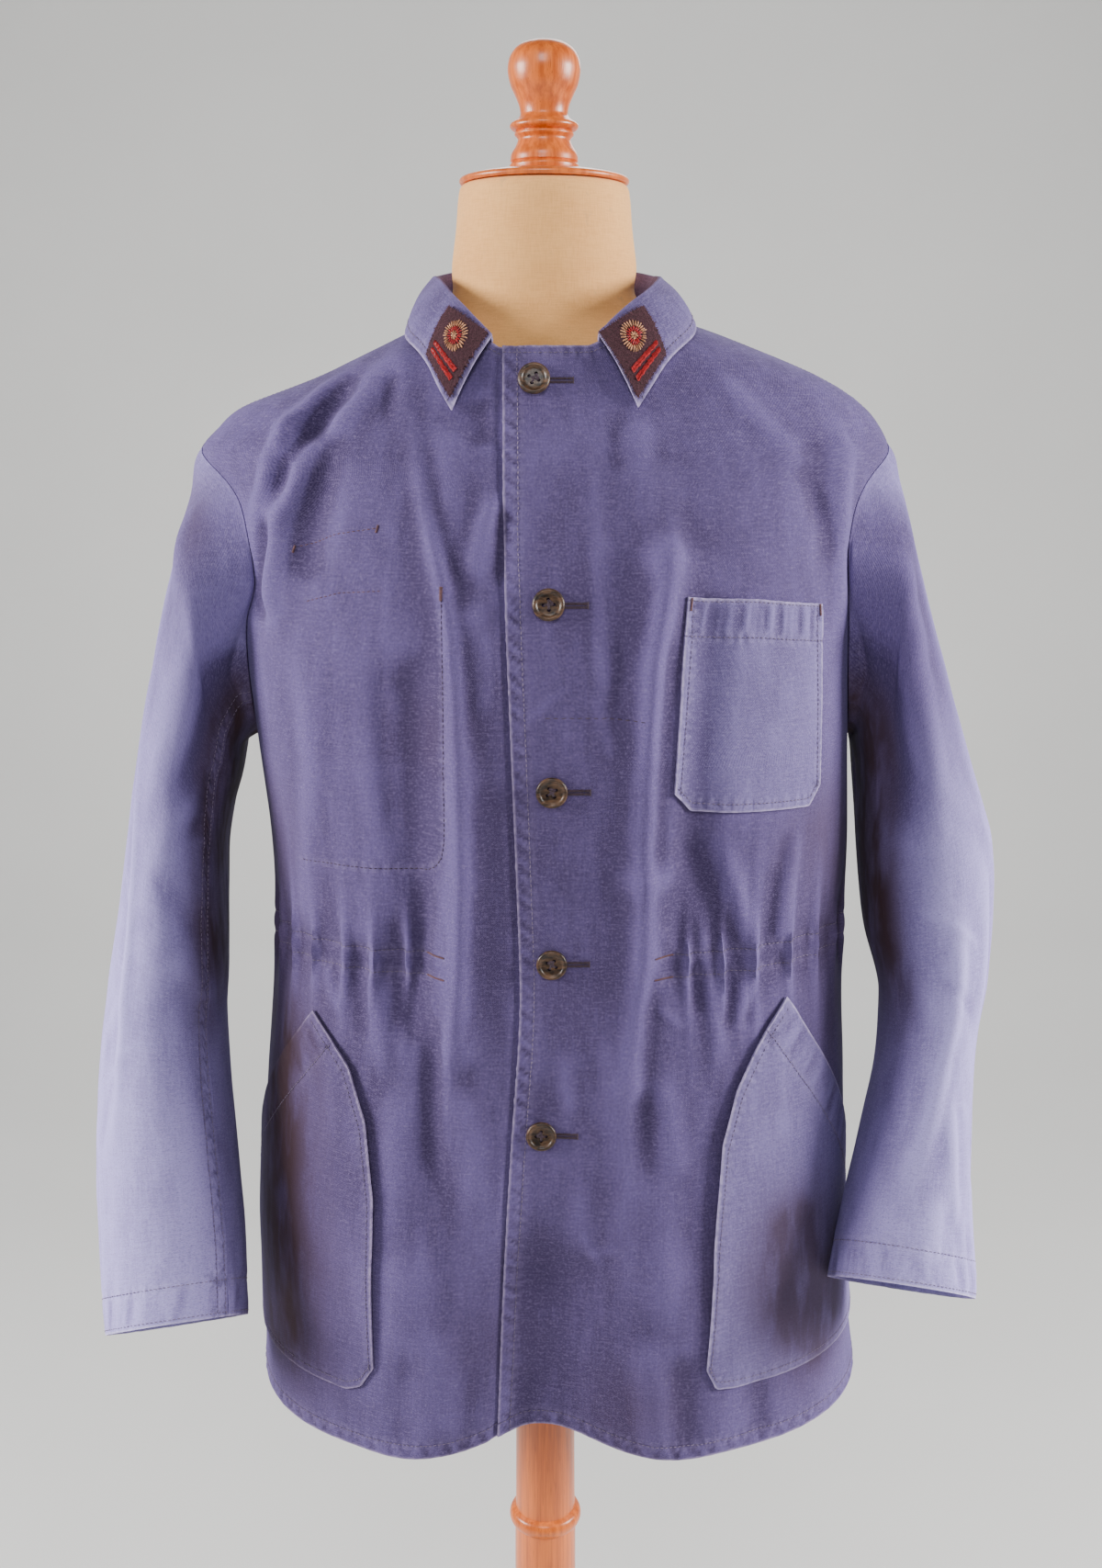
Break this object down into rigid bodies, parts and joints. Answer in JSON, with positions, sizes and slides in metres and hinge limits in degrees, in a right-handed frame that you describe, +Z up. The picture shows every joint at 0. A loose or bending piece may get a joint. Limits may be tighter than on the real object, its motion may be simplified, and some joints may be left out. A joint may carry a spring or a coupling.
{
  "type": "chore jacket on a dress form",
  "caption": "Faded cotton chore jacket with buttoned front and patch pockets, worn on a limbless linen dress form on a turned wooden stand",
  "frame": {"origin": "middle of the underside of the stand's base, on the floor", "axes": "+Z up along the column, -Y towards the jacket's front, +X to the wearer's left"},
  "size_m": [0.633, 0.38, 1.651],
  "materials": {
    "cotton_twill": "washed matt twill",
    "wool_felt": "felted matt",
    "dark_horn": "worn satin",
    "linen": "plain woven",
    "turned_wood": "satin varnish"
  },
  "bodies": {
    "root": {"front_left": "cotton_twill", "front_right": "cotton_twill", "back": "cotton_twill", "sleeve_left_upper": "cotton_twill", "sleeve_left_under": "cotton_twill", "sleeve_right_upper": "cotton_twill", "sleeve_right_under": "cotton_twill", "collar": "cotton_twill", "chest_pocket": "cotton_twill", "lower_pocket_left": "cotton_twill", "lower_pocket_right": "cotton_twill", "inner_pocket": "cotton_twill", "waist_casing_left": "cotton_twill", "waist_casing_right": "cotton_twill", "badge_left": "wool_felt", "badge_right": "wool_felt", "button_1": "dark_horn", "button_2": "dark_horn", "button_3": "dark_horn", "button_4": "dark_horn", "button_5": "dark_horn", "form_bust": "linen", "neck_cap": "turned_wood", "finial": "turned_wood", "column": "turned_wood", "base": "turned_wood"}
  },
  "joints": []
}
